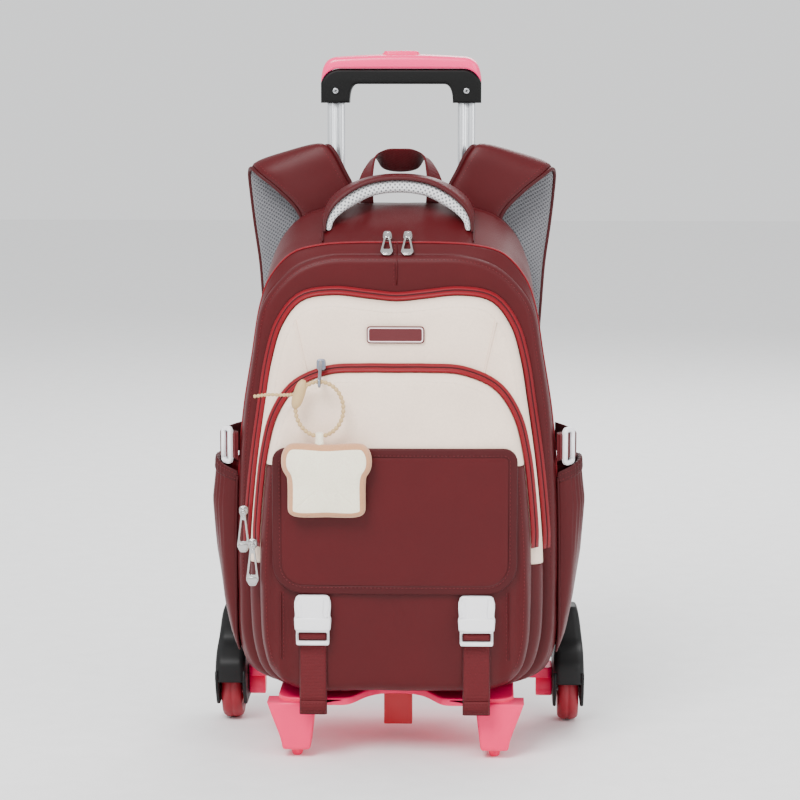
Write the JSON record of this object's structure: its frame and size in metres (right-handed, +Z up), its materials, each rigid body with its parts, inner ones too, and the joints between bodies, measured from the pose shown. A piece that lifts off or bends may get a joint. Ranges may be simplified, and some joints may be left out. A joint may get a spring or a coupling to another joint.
{
  "type": "wheeled backpack",
  "caption": "School backpack on a wheeled trolley with a telescopic handle, padded straps, front pockets, a buckled flap, side pockets and a plush charm.",
  "frame": {"origin": "middle of the object seen from above, on the floor under the wheels and front feet", "axes": "+Z up, -Y towards the bag's front, +X towards the right as the front is looked at"},
  "size_m": [0.3404, 0.2308, 0.616],
  "materials": {
    "maroon_cloth": "satin woven polyester",
    "cream_cloth": "woven polyester",
    "zip_tape": "coated zip",
    "webbing": "ribbed webbing",
    "mesh_cloth": "spacer mesh",
    "plush": "short plush",
    "white_plastic": "semi gloss",
    "pink_plastic": "semi gloss",
    "red_plastic": "satin",
    "black_plastic": "fine grain",
    "tie_plastic": "satin",
    "tyre_rubber": "matt",
    "tube_metal": "anodised",
    "steel_parts": "plated"
  },
  "bodies": {
    "bag": {"rear_body": "maroon_cloth", "front_body": "maroon_cloth", "big_pocket_base": "maroon_cloth", "flap_pocket": "maroon_cloth", "pocket_flap": "maroon_cloth", "label_patch": "maroon_cloth", "side_pocket_left": "maroon_cloth", "side_pocket_right": "maroon_cloth", "strap_outer_left": "maroon_cloth", "strap_outer_right": "maroon_cloth", "grab_handle_top": "maroon_cloth", "big_pocket": "cream_cloth", "small_pocket": "cream_cloth", "main_zip": "zip_tape", "big_zip": "zip_tape", "small_zip": "zip_tape", "side_strap_left": "webbing", "side_strap_right": "webbing", "strap_webbing_left": "webbing", "strap_webbing_right": "webbing", "flap_tail_left": "webbing", "flap_tail_right": "webbing", "webbing_loop": "webbing", "strap_mesh_left": "mesh_cloth", "strap_mesh_right": "mesh_cloth", "grab_handle_mesh": "mesh_cloth", "charm_bread": "plush", "side_glide_left": "white_plastic", "side_glide_right": "white_plastic", "flap_buckle_left": "white_plastic", "flap_buckle_right": "white_plastic", "base_frame": "pink_plastic", "centre_stop": "red_plastic", "fender_left": "black_plastic", "fender_right": "black_plastic", "strap_adjuster_left": "black_plastic", "strap_adjuster_right": "black_plastic", "tube_bracket": "black_plastic", "charm_tie": "tie_plastic", "charm_lock": "tie_plastic", "outer_tube_left": "tube_metal", "outer_tube_right": "tube_metal", "axle_left": "steel_parts", "axle_right": "steel_parts", "main_pull_left": "steel_parts", "main_pull_right": "steel_parts", "big_pull": "steel_parts", "small_pull": "steel_parts", "charm_slider": "steel_parts"},
    "handle": {"inner_tube_left": "tube_metal", "inner_tube_right": "tube_metal", "handle_grip": "black_plastic", "handle_cover": "pink_plastic", "grip_screw_left": "steel_parts", "grip_screw_right": "steel_parts"},
    "handle_button": {"handle_button": "pink_plastic"},
    "wheel_left": {"tyre_left": "tyre_rubber", "hub_left": "red_plastic"},
    "wheel_right": {"tyre_right": "tyre_rubber", "hub_right": "red_plastic"}
  },
  "joints": [
    {"name": "handle_slide", "type": "slide", "parent": "bag", "child": "handle", "axis": [0, 0, 1], "range_m": [-0.03, 0.3]},
    {"name": "button_press", "type": "slide", "parent": "handle", "child": "handle_button", "axis": [0, 0, 1], "range_m": [-0.0035, 0], "stiffness_N_per_m": 400, "springref_m": 0.001},
    {"name": "wheel_left_spin", "type": "hinge", "parent": "bag", "child": "wheel_left", "pos_m": [-0.155, 0.0675, 0.031], "axis": [1, 0, 0], "continuous": true},
    {"name": "wheel_right_spin", "type": "hinge", "parent": "bag", "child": "wheel_right", "pos_m": [0.155, 0.0675, 0.031], "axis": [1, 0, 0], "continuous": true}
  ]
}
